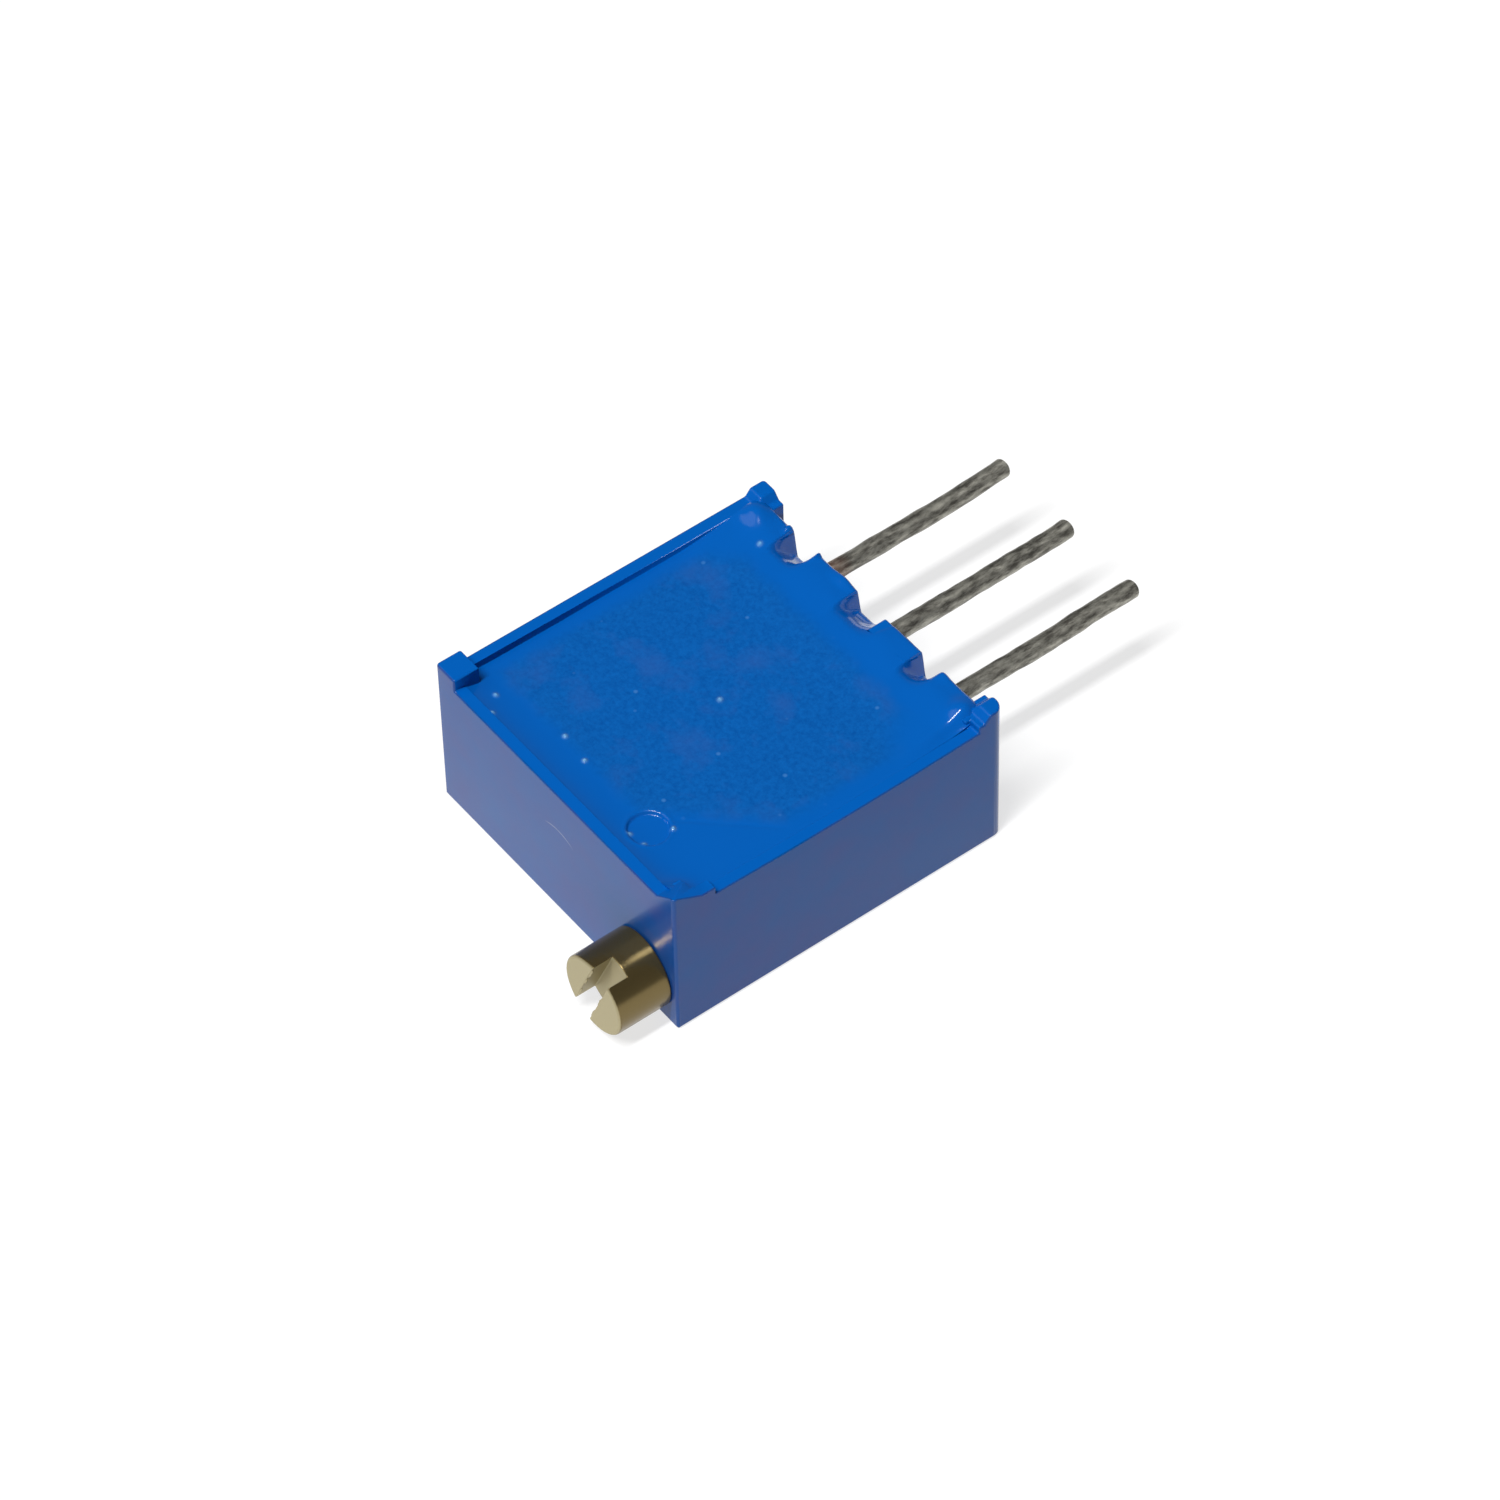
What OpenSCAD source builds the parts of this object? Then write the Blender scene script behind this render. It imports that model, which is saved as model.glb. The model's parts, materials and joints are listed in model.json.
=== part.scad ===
// Square multi-turn trimmer potentiometer with a side adjusting screw.
// It lies on its closed face, with the open, potted face up (+Z).
// The terminals leave towards +Y and the screw head stands out towards -Y.
// Origin: centre of the closed face.

/* [Body] */
// Width of the body across the row of terminals
body_w = 9.53; // [9:0.01:13]
// Length from the screw face to the ends of the standoff ribs
body_l = 10.03; // [9.4:0.01:13]
// Height from the closed face to the tops of the posts by the screw
body_t = 4.83; // [4.6:0.01:6.5]
// Wall round the open well
wall_t = 0.35; // [0.25:0.01:0.45]
// Wall under the screw's thread
floor_t = 0.4; // [0.3:0.01:0.5]
// Wall that the screw passes through
screw_wall_t = 1.415; // [1.3:0.005:1.8]
// Solid block behind the terminal side, which the screw's end turns in
rear_block_t = 1.565; // [1.4:0.005:2]
// Upper wall above that block, which the terminals leave through
pin_wall_t = 0.6; // [0.4:0.01:0.8]
// How far the posts rise above the rim
post_rise = 0.4; // [0.2:0.01:0.6]
// How far the posts of the terminal side stay below the other two
rear_post_drop = 0.18; // [0:0.01:0.3]
// How much lower the rim is along the screw's side
right_rim_drop = 0.2; // [0:0.01:0.3]
// Sag of that rim at mid length
right_rim_sag = 0.08; // [0.02:0.01:0.12]
// Size of a corner post along X and along Y, at the rim
post_size = 0.75; // [0.5:0.01:1]
// Length along X of the sloped post above the screw
ramp_x = 0.95; // [0.76:0.01:1.3]
// Length along Y of the sloped post above the screw
ramp_y = 1.25; // [0.76:0.01:1.5]
// Level part at the top of that post
ramp_crown = 0.12; // [0.05:0.01:0.4]
// Level part at the top of the two posts of the terminal side
rear_crown = 0.45; // [0.2:0.01:0.6]
// Width of the rounded edges outside
edge_r = 0.1; // [0.05:0.01:0.2]
// Rounding of the corner between the terminal side and the screw's side
rear_corner_r = 0.35; // [0.1:0.01:0.4]

/* [Standoffs] */
// How far the two ribs stand out from the terminal face
standoff_h = 0.35; // [0.2:0.01:0.6]
// Width of each rib
standoff_w = 0.8; // [0.75:0.01:1.1]

/* [Terminals] */
// Terminal wire diameter
pin_d = 0.51; // [0.4:0.01:0.62]
// Distance between neighbouring terminals
pin_pitch = 2.54; // [2:0.01:3.1]
// Depth of the terminals' axes below the post tops
pin_inset = 1.95; // [1.7:0.01:2.2]
// Length of terminal beyond the standoff ribs
pin_reach = 5.85; // [3:0.05:12]
// Half width of the housing's slot round each terminal
pin_slot_r = 0.55; // [0.45:0.01:0.7]
// Chamfer at a terminal's end
pin_chamfer = 0.05; // [0.02:0.01:0.1]
// Width of a terminal's flattened inner end
coin_w = 0.6; // [0.5:0.01:0.7]
// Thickness of that flattened end
coin_t = 0.34; // [0.25:0.01:0.38]
// Depth below the terminal face where a terminal turns from flat to round
coin_inset = 0.12; // [0.05:0.01:0.14]

/* [Adjusting screw] */
// Diameter of the slotted head
head_d = 2.19; // [1.9:0.01:2.7]
// How far the head stands out from the screw face
head_reach = 1.57; // [1:0.01:2.5]
// Distance from the head's rim to the planes of the two nearest outer faces
head_margin = 0.175; // [0.1:0.005:0.5]
// Play between the head's shoulder and the screw face
shoulder_gap = 0.03; // [0.01:0.01:0.1]
// Width of the screwdriver slot
slot_w = 0.61; // [0.4:0.01:0.8]
// Depth of the screwdriver slot
slot_depth = 0.6; // [0.3:0.01:0.9]
// Angle of the slot at mid travel, from +X towards +Z
slot_angle = 67; // [0:1:180]
// How far the slot lies off the screw's axis
slot_offset = 0.07; // [0:0.01:0.1]
// Diameter of the plain shaft in the bore
neck_d = 1.7; // [1.4:0.01:2.04]
// Outer diameter of the thread
thread_d = 1.5; // [1.2:0.01:1.8]
// Depth of the thread
thread_depth = 0.1; // [0.05:0.01:0.15]
// Diameter of the seal's groove and the clip's groove
groove_d = 1.1; // [0.9:0.01:1.32]
// Diameter of the journal at the far end
journal_d = 0.9; // [0.6:0.01:1.1]
// Length of that journal
journal_l = 0.55; // [0.3:0.01:0.7]
// Radial clearance of the shaft and of the journal in their bores
bore_clear = 0.04; // [0.02:0.005:0.08]

/* [Seal and clip] */
// Distance from the screw face to the seal's groove
seal_inset = 0.3; // [0.2:0.01:0.4]
// Clearance round the seal's section
seal_clear = 0.012; // [0.005:0.001:0.02]
// Thickness of the retaining clip
clip_t = 0.22; // [0.15:0.01:0.27]
// Width of the retaining clip
clip_w = 1.7; // [1.5:0.01:1.78]
// Wall left between the clip's pocket and the cavity
clip_wall = 0.14; // [0.1:0.01:0.2]
// Clearance round the clip, in its pocket and in its groove
clip_clear = 0.02; // [0.01:0.005:0.04]

/* [Substrate] */
// Thickness of the ceramic plate
plate_t = 0.76; // [0.5:0.01:0.92]
// How much of the plate's edge rests on the housing's ledge
plate_rest = 0.25; // [0.15:0.01:0.35]
// Gap between the plate's long edges and the well's walls
plate_gap = 0.25; // [0.1:0.01:0.35]
// Length of the cut corner along X
corner_cut_x = 2.47; // [1.5:0.01:3]
// Length of the cut corner along Y
corner_cut_y = 2.66; // [1.5:0.01:3.2]
// Thickness of the printed films
film_t = 0.03; // [0.01:0.005:0.05]
// Solder between a terminal and its pad
solder_t = 0.12; // [0.05:0.01:0.2]
// Length of a terminal's pad
pad_l = 0.55; // [0.4:0.01:0.6]
// Width of a terminal's pad
pad_w = 0.9; // [0.6:0.01:1]
// Width of the two long tracks
track_w = 0.8; // [0.5:0.01:1]
// Width of the conductor between the resistive track and the far terminal
trace_w = 0.45; // [0.2:0.01:0.6]

/* [Potting] */
// Epoxy over the plate
cover_t = 0.135; // [0.1:0.005:0.3]
// Drop of the epoxy from the well to the outer face, in each terminal slot
slot_fill_drop = 0.55; // [0.2:0.01:0.7]
// Length of the epoxy collar round each terminal
collar_l = 0.14; // [0.05:0.01:0.3]
// Width of the epoxy collar beyond the terminal's own surface
collar_w = 0.18; // [0.05:0.01:0.25]
// Radius of the round dimple in the epoxy
dimple_r = 0.55; // [0.3:0.01:0.7]
// Depth of that dimple
dimple_depth = 0.1; // [0.02:0.01:0.12]
// Distance of the dimple's centre from the middle terminal's axis
dimple_x = 2.17; // [1.5:0.01:2.6]

/* [Carriage and wiper] */
// Length of the carriage along the screw
carriage_l = 1.2; // [0.8:0.01:1.6]
// Gap between the carriage and the housing's floor, ends and rail
carriage_gap = 0.05; // [0.03:0.01:0.1]
// Gap between the carriage and the thread
nut_clear = 0.05; // [0.02:0.01:0.1]
// Thickness of the housing's rail above the carriage
rail_t = 0.5; // [0.3:0.01:0.6]
// Room between the carriage's top and the rail
rail_room = 0.18; // [0.1:0.01:0.3]
// Thickness of the wiper's sheet
wiper_t = 0.07; // [0.04:0.01:0.1]
// Width of one finger
finger_w = 0.14; // [0.08:0.01:0.2]
// Fingers on each track
finger_count = 4; // [2:1:5]
// Gap between a finger's tip and the track
contact_gap = 0.02; // [0.01:0.005:0.04]

/* [Hidden] */
$fn = 64;
eps = 0.01;

// Outer planes
side_x = body_w / 2;
screw_face = -body_l / 2;
rib_end = body_l / 2;
pin_face = rib_end - standoff_h;
rim_z = body_t - post_rise;
rear_post_z = body_t - rear_post_drop;
right_rim_z = rim_z - right_rim_drop;
sag_span = body_l - 2 * post_size;
sag_r = sag_span * sag_span / (8 * right_rim_sag);

// Terminals and what they are soldered to, counted down from the post tops
pin_z = body_t - pin_inset;
film_z = pin_z + pin_d / 2 + solder_t;
plate_z = film_z + film_t;
plate_top = plate_z + plate_t;
fill_z = plate_top + cover_t;
pad_edge = 0.05;
solder_w = pad_w - 2 * pad_edge;
solder_rise = 0.04;
collar_tip = 0.03;
pin_x = [pin_pitch, 0, -pin_pitch];

// Well, cavity and plate
well_x = side_x - wall_t;
well_front = screw_face + wall_t;
well_rear = pin_face - pin_wall_t;
cavity_front = screw_face + screw_wall_t;
cavity_rear = pin_face - rear_block_t;
plate_x = well_x - plate_gap;
plate_front = cavity_front - plate_rest;
plate_rear = cavity_rear + plate_rest;
cut_l = sqrt(corner_cut_x * corner_cut_x + corner_cut_y * corner_cut_y);
rail_z = plate_z - rail_t;

// Screw
screw_x = side_x - head_d / 2 - head_margin;
screw_z = head_d / 2 + head_margin;
bore_d = neck_d + 2 * bore_clear;
seal_section = (bore_d - groove_d) / 2 - 2 * seal_clear;
seal_y = screw_face + seal_inset + seal_section / 2 + 2 * seal_clear;
seal_groove_l = seal_section + 4 * seal_clear;
clip_y = cavity_front - clip_wall - clip_clear - clip_t / 2;
clip_room = clip_t + 2 * clip_clear;
clip_leg = 0.2;
clip_headroom = 0.1;
clip_bottom = screw_z - groove_d / 2 - clip_leg;
clip_top = plate_z - clip_headroom;
journal_y = cavity_rear + journal_l;
end_play = 0.03;
thread_front = cavity_front + 0.15;
thread_rear = cavity_rear - end_play;
head_front = screw_face - head_reach;
head_chamfer = 0.05;

// Carriage and wiper at mid travel
carriage_y = (cavity_front + cavity_rear) / 2;
carriage_z = floor_t + carriage_gap;
carriage_top = rail_z - rail_room;
nut_r = thread_d / 2 + nut_clear;
nut_lip = 0.16;
carriage_right = screw_x + nut_r - nut_lip;
collector_x = pin_x[1];
resistive_x = pin_x[1] + pin_pitch / 2;
wiper_edge = 0.12;
foot_w = 0.5;
hollow_rise = 0.3;
wiper_left = collector_x - track_w / 2;
wiper_right = resistive_x + track_w / 2;
carriage_left = wiper_left - wiper_edge;
sheet_top = carriage_top + wiper_t;
tip_r = wiper_t;
tip_z = film_z - contact_gap - tip_r;
heel_y = carriage_y - carriage_l / 2 + 0.15;
heel_l = 0.25;
sheet_edge = 0.05;
tip_y = carriage_y + carriage_l / 2 - 0.3;
finger_pitch = (track_w - finger_w - 0.06) / (finger_count - 1);

// Where the slanted edge begins on an outline drawn m inside the plate's own edge
function slant_start(m) = plate_x - corner_cut_x + m * (corner_cut_x - cut_l) / corner_cut_y;

// Ends of the printed tracks; the front trace stays clear of the mouth's slanted edge
trace_space = 0.1;
slant_y = plate_front + plate_rest + (wiper_right - slant_start(plate_rest)) * corner_cut_y / corner_cut_x;
track_front = max(cavity_front + 0.75, slant_y + trace_space + trace_w);
track_rear = cavity_rear - 0.55;
track_space = 0.25;

// Outline of the plate with its cut corner, drawn m inside the plate's own edge
function plate_outline(m) = [
    [-plate_x + m, plate_front + m],
    [slant_start(m), plate_front + m],
    [plate_x - m, plate_front + corner_cut_y + m * (cut_l - corner_cut_y) / corner_cut_x],
    [plate_x - m, plate_rear - m],
    [-plate_x + m, plate_rear - m]
];

// Cylinder along Y, from y0 to y1
module rod(x, z, d, y0, y1) {
    translate([x, y0, z])
        rotate([-90, 0, 0])
            cylinder(d = d, h = y1 - y0);
}

// Box from its lowest corner to its highest
module span(a, b) {
    translate(a)
        cube(b - a);
}

// What rounding takes off a vertical edge; sx and sy point outwards
module upright_round(x, y, sx, sy, r) {
    translate([x, y, -eps])
        difference() {
            translate([sx > 0 ? -r : -eps, sy > 0 ? -r : -eps, 0])
                cube([r + eps, r + eps, body_t + 2 * eps]);
            translate([-sx * r, -sy * r, -eps])
                cylinder(r = r, h = body_t + 4 * eps);
        }
}

// What rounding takes off a level edge along X; sy and sz point outwards
module level_round_x(y, z, sy, sz) {
    difference() {
        translate([-side_x - eps, y + (sy > 0 ? -edge_r : -eps), z + (sz > 0 ? -edge_r : -eps)])
            cube([body_w + 2 * eps, edge_r + eps, edge_r + eps]);
        translate([-side_x - 2 * eps, y - sy * edge_r, z - sz * edge_r])
            rotate([0, 90, 0])
                cylinder(r = edge_r, h = body_w + 4 * eps);
    }
}

// What rounding takes off a level edge along Y; sx and sz point outwards
module level_round_y(x, z, sx, sz) {
    difference() {
        translate([x + (sx > 0 ? -edge_r : -eps), screw_face - eps, z + (sz > 0 ? -edge_r : -eps)])
            cube([edge_r + eps, body_l + 2 * eps, edge_r + eps]);
        translate([x - sx * edge_r, screw_face - 2 * eps, z - sz * edge_r])
            rotate([-90, 0, 0])
                cylinder(r = edge_r, h = body_l + 4 * eps);
    }
}

// Plan of the open well: a rectangle less its four post corners
module well_plan() {
    difference() {
        translate([-well_x, well_front])
            square([2 * well_x, well_rear - well_front]);
        for (sx = [-1, 1]) {
            translate([sx * (side_x - post_size / 2), screw_face + post_size / 2])
                square(post_size, center = true);
            translate([sx * (side_x - post_size / 2), rib_end - post_size / 2])
                square([post_size, post_size], center = true);
        }
    }
}

// Outline of a post whose inner side slopes from its crown down to its foot at the rim
function slope_outline(edge, s, top, crown, foot) = [
    [edge, 0],
    [edge, top],
    [edge - s * crown, top],
    [edge - s * foot, right_rim_z],
    [edge - s * foot, 0]
];

// Post that slopes down along X and along Y; foot holds its two lengths
module sloped_post(sx, sy, top, crown, foot) {
    intersection() {
        translate([0, sy * body_l / 2, 0])
            rotate([90, 0, 0])
                linear_extrude(2 * foot[1], center = true)
                    polygon(slope_outline(sx * side_x, sx, top, crown, foot[0]));
        translate([sx * side_x, 0, 0])
            rotate([90, 0, 90])
                linear_extrude(2 * foot[0], center = true)
                    polygon(slope_outline(sy * body_l / 2, sy, top, crown, foot[1]));
    }
}

// Slot round a terminal: round below, open above
module pin_slot(x, y0, y1, top) {
    rod(x, pin_z, 2 * pin_slot_r, y0, y1);
    span([x - pin_slot_r, y0, pin_z], [x + pin_slot_r, y1, top]);
}

module housing_outside() {
    difference() {
        union() {
            span([-side_x, screw_face, 0], [side_x, pin_face, rim_z]);
            for (sx = [-1, 1])
                span([sx > 0 ? side_x - standoff_w : -side_x, pin_face - eps, 0],
                    [sx > 0 ? side_x : standoff_w - side_x, rib_end, rim_z]);
            span([-side_x, screw_face, 0],
                [post_size - side_x, screw_face + post_size, body_t]);
            sloped_post(1, -1, body_t, ramp_crown, [ramp_x, ramp_y]);
            for (sx = [-1, 1])
                sloped_post(sx, 1, rear_post_z, rear_crown, [standoff_w, standoff_w]);
        }
        // Lower, sagging rim on the screw's side
        intersection() {
            span([well_x - eps, screw_face + ramp_y, right_rim_z - right_rim_sag],
                [side_x + eps, rib_end - standoff_w, body_t]);
            translate([0, 0, right_rim_z - right_rim_sag + sag_r])
                rotate([0, 90, 0])
                    cylinder(r = sag_r, h = body_w, $fn = 360);
        }
        upright_round(-side_x, screw_face, -1, -1, edge_r);
        upright_round(side_x, screw_face, 1, -1, edge_r);
        upright_round(-side_x, rib_end, -1, 1, edge_r);
        upright_round(side_x, rib_end, 1, 1, rear_corner_r);
        level_round_x(screw_face, 0, -1, -1);
        level_round_x(rib_end, 0, 1, -1);
        level_round_y(-side_x, 0, -1, -1);
        level_round_y(side_x, 0, 1, -1);
    }
}

module housing() color("royalblue") {
    difference() {
        housing_outside();
        // Well for the plate and the epoxy
        translate([0, 0, plate_z])
            linear_extrude(body_t)
                well_plan();
        // Mouth under the plate, and the wider cavity below the rail
        translate([0, 0, rail_z - eps])
            linear_extrude(rail_t + 2 * eps)
                polygon(plate_outline(plate_rest));
        span([plate_rest - plate_x, cavity_front, floor_t], [well_x, cavity_rear, rail_z]);
        for (x = pin_x)
            pin_slot(x, cavity_rear - eps, rib_end, body_t + eps);
        // Bores for the screw's shaft and its end journal
        rod(screw_x, screw_z, bore_d, screw_face - eps, cavity_front + eps);
        rod(screw_x, screw_z, journal_d + 2 * bore_clear, cavity_rear - eps, journal_y + shoulder_gap);
        // Pocket that the retaining clip drops into
        span([screw_x - clip_w / 2 - clip_clear, clip_y - clip_room / 2, clip_bottom - clip_clear],
            [screw_x + clip_w / 2 + clip_clear, clip_y + clip_room / 2, plate_z + eps]);
    }
}

module ceramic_substrate() color("ivory")
    translate([0, 0, plate_z])
        linear_extrude(plate_t)
            polygon(plate_outline(0));

module potting() color("dodgerblue") {
    difference() {
        union() {
            translate([0, 0, plate_z])
                linear_extrude(fill_z - plate_z)
                    well_plan();
            for (x = pin_x) {
                pin_slot(x, plate_rear, well_rear + eps, plate_z + eps);
                slot_fill(x);
                translate([x, pin_face, pin_z])
                    rotate([-90, 0, 0])
                        cylinder(r1 = pin_d / 2 + collar_w, r2 = pin_d / 2 + collar_tip, h = collar_l);
            }
        }
        translate([0, 0, plate_z - eps])
            linear_extrude(plate_t + eps)
                polygon(plate_outline(0));
        for (x = pin_x)
            terminal(x);
        translate([dimple_x, plate_front, fill_z - dimple_depth])
            cylinder(r = dimple_r, h = dimple_depth + eps);
    }
}

// Epoxy in a terminal's slot through the wall, sloping down to the outer face
module slot_fill(x) {
    rod(x, pin_z, 2 * pin_slot_r, well_rear, pin_face);
    translate([x - pin_slot_r, 0, 0])
        rotate([90, 0, 90])
            linear_extrude(2 * pin_slot_r)
                polygon([[well_rear, pin_z], [pin_face, pin_z],
                    [pin_face, fill_z - slot_fill_drop], [well_rear, fill_z]]);
}

// Printed film on the plate's inner face
module film(a, b) {
    span([a[0], a[1], film_z], [b[0], b[1], plate_z]);
}

module pad(x) {
    film([x - pad_w / 2, plate_rear - pad_l], [x + pad_w / 2, plate_rear]);
}

module resistive_track() color("dimgray")
    film([resistive_x - track_w / 2, track_front], [resistive_x + track_w / 2, track_rear]);

module collector_track() color("gold") {
    film([collector_x - track_w / 2, track_front + track_space],
        [collector_x + track_w / 2, plate_rear - pad_l + eps]);
    pad(pin_x[1]);
}

module end_conductor_1() color("gold") {
    film([resistive_x - track_w / 2, track_rear],
        [pin_x[0] + pad_w / 2, plate_rear - pad_l]);
    pad(pin_x[0]);
}

module end_conductor_3() color("gold") {
    film([pin_x[2] - trace_w / 2, track_front - trace_w], [resistive_x + track_w / 2, track_front]);
    film([pin_x[2] - trace_w / 2, track_front - trace_w], [pin_x[2] + trace_w / 2, plate_rear - pad_l + eps]);
    pad(pin_x[2]);
}

module terminal(x) color("silver") {
    coined_end(x);
    rod(x, pin_z, pin_d, pin_face - coin_inset - eps, rib_end + pin_reach - pin_chamfer);
    translate([x, rib_end + pin_reach - pin_chamfer, pin_z])
        rotate([-90, 0, 0])
            cylinder(d1 = pin_d, d2 = pin_d - 2 * pin_chamfer, h = pin_chamfer);
}

// Flattened inner end of a terminal, from its pad to just inside the terminal face
module coined_end(x) {
    span([x - coin_w / 2, plate_rear - pad_l, pin_z - coin_t / 2],
        [x + coin_w / 2, pin_face - coin_inset, pin_z + coin_t / 2]);
}

module terminal_1() terminal(pin_x[0]);
module terminal_2() terminal(pin_x[1]);
module terminal_3() terminal(pin_x[2]);

// Solder saddle between a terminal and its pad
module solder_joint(x) color("lightgray")
    difference() {
        translate([x, plate_rear - pad_edge, 0])
            rotate([90, 0, 0])
                linear_extrude(pad_l - 2 * pad_edge)
                    polygon([[-solder_w / 2, film_z], [solder_w / 2, film_z],
                        [coin_w / 2, pin_z + solder_rise], [-coin_w / 2, pin_z + solder_rise]]);
        coined_end(x);
    }

module solder_joint_1() solder_joint(pin_x[0]);
module solder_joint_2() solder_joint(pin_x[1]);
module solder_joint_3() solder_joint(pin_x[2]);

module adjusting_screw() color("goldenrod") {
    difference() {
        union() {
            rod(screw_x, screw_z, head_d, head_front + head_chamfer, screw_face - shoulder_gap);
            translate([screw_x, head_front, screw_z])
                rotate([-90, 0, 0])
                    cylinder(d1 = head_d - 2 * head_chamfer, d2 = head_d, h = head_chamfer);
            rod(screw_x, screw_z, neck_d, screw_face - shoulder_gap - eps, cavity_front);
            rod(screw_x, screw_z, thread_d - 2 * thread_depth, cavity_front - eps, thread_front + eps);
            rod(screw_x, screw_z, thread_d, thread_front, thread_rear);
            rod(screw_x, screw_z, journal_d, thread_rear - eps, journal_y);
        }
        ring_cut(seal_y, seal_groove_l);
        ring_cut(clip_y, clip_room);
        // Screwdriver slot
        translate([screw_x, head_front, screw_z])
            rotate([0, -slot_angle, 0])
                translate([0, slot_depth / 2 - eps / 2, slot_offset])
                    cube([2 * head_d, slot_depth + eps, slot_w], center = true);
    }
}

// Square-edged groove round the shaft
module ring_cut(y, l) {
    difference() {
        rod(screw_x, screw_z, neck_d + 1, y - l / 2, y + l / 2);
        rod(screw_x, screw_z, groove_d, y - l, y + l);
    }
}

module shaft_seal() color("black")
    translate([screw_x, seal_y, screw_z])
        rotate([90, 0, 0])
            rotate_extrude()
                translate([groove_d / 2 + seal_clear + seal_section / 2, 0])
                    circle(d = seal_section, $fn = 32);

module retaining_clip() color("lightsteelblue")
    difference() {
        span([screw_x - clip_w / 2, clip_y - clip_t / 2, clip_bottom],
            [screw_x + clip_w / 2, clip_y + clip_t / 2, clip_top]);
        rod(screw_x, screw_z, groove_d + 2 * clip_clear, clip_y - clip_t, clip_y + clip_t);
        span([screw_x - groove_d / 2 - clip_clear, clip_y - clip_t, 0],
            [screw_x + groove_d / 2 + clip_clear, clip_y + clip_t, screw_z]);
    }

module carriage() color("whitesmoke")
    difference() {
        span([carriage_left, carriage_y - carriage_l / 2, carriage_z],
            [carriage_right, carriage_y + carriage_l / 2, carriage_top]);
        // Half nut round the thread
        rod(screw_x, screw_z, 2 * nut_r, carriage_y - carriage_l, carriage_y + carriage_l);
        span([screw_x - nut_r, carriage_y - carriage_l, 0], [side_x, carriage_y + carriage_l, screw_z]);
        // Hollow between the sliding foot and the nut
        span([carriage_left + foot_w, carriage_y - carriage_l, 0],
            [screw_x - nut_r - foot_w, carriage_y + carriage_l, screw_z + hollow_rise]);
    }

// One sprung finger: it leaves the sheet's front edge and rises to its tip
module finger(x) {
    translate([x - finger_w / 2, 0, 0])
        rotate([90, 0, 90])
            linear_extrude(finger_w) {
                polygon([[heel_y, carriage_top], [heel_y + heel_l, carriage_top],
                    [tip_y + tip_r * 0.6, tip_z - tip_r * 0.8], [tip_y - tip_r * 0.6, tip_z + tip_r * 0.8],
                    [heel_y, sheet_top]]);
                translate([tip_y, tip_z])
                    circle(r = tip_r);
            }
}

module wiper() color("khaki") {
    span([wiper_left, heel_y - sheet_edge, carriage_top],
        [wiper_right, heel_y + heel_l + sheet_edge, sheet_top]);
    for (x = [collector_x, resistive_x])
        for (i = [0 : finger_count - 1])
            finger(x + (i - (finger_count - 1) / 2) * finger_pitch);
}

housing();
potting();
ceramic_substrate();
resistive_track();
collector_track();
end_conductor_1();
end_conductor_3();
terminal_1();
terminal_2();
terminal_3();
solder_joint_1();
solder_joint_2();
solder_joint_3();
adjusting_screw();
shaft_seal();
retaining_clip();
carriage();
wiper();
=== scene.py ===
import json
import math

import bmesh
import bpy
import numpy as np
from mathutils import Matrix, Vector


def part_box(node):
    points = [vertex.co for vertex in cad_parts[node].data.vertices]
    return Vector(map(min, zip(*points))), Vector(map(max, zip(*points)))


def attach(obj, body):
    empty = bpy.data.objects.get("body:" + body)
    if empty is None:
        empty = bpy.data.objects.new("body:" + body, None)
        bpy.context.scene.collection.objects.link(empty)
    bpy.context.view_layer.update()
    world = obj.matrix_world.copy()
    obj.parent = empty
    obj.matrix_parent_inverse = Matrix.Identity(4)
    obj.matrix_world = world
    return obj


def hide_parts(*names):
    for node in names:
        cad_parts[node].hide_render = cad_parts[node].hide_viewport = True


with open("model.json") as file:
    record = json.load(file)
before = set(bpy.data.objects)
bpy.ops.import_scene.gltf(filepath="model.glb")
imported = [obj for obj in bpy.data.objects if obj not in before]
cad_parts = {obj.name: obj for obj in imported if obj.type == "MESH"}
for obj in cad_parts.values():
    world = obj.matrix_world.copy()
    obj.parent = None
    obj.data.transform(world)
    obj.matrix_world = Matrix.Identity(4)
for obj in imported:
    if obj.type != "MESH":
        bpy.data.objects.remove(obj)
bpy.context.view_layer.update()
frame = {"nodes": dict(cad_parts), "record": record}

mm = 0.001


def corners(node):
    # a node's lowest and highest corner in millimetres
    low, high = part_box(node)
    return np.array(low) / mm, np.array(high) / mm


# places, all from the frame, in mm
bodyLow, bodyHigh = corners("housing")
plateLow, plateHigh = corners("ceramic_substrate")
screwLow = corners("adjusting_screw")[0]
mounts = {m["name"]: m for m in frame["record"]["mounts"]}
pinRadius = mounts["terminal_2_lead"]["dims"]["r_mm"]
pinXs = [mounts[f"terminal_{i}_lead"]["pos_m"][0] / mm for i in (1, 2, 3)]
pinZ = mounts["terminal_2_lead"]["pos_m"][2] / mm
headCentre = np.array(mounts["adjuster_head"]["pos_m"]) / mm
headRadius = mounts["adjuster_head"]["dims"]["r_mm"]


def toLinear(hexText):
    # sRGB hex to the linear colour that Blender's sockets take
    parts = [int(hexText[i:i + 2], 16) / 255 for i in (1, 3, 5)]
    return tuple(c / 12.92 if c <= 0.04045 else ((c + 0.055) / 1.055) ** 2.4 for c in parts) + (1.0,)


def smoothStep(low, high, x):
    # 0 below low, 1 above high, with a smooth cubic between
    t = np.clip((x - low) / (high - low), 0, 1)
    return t * t * (3 - 2 * t)


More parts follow.
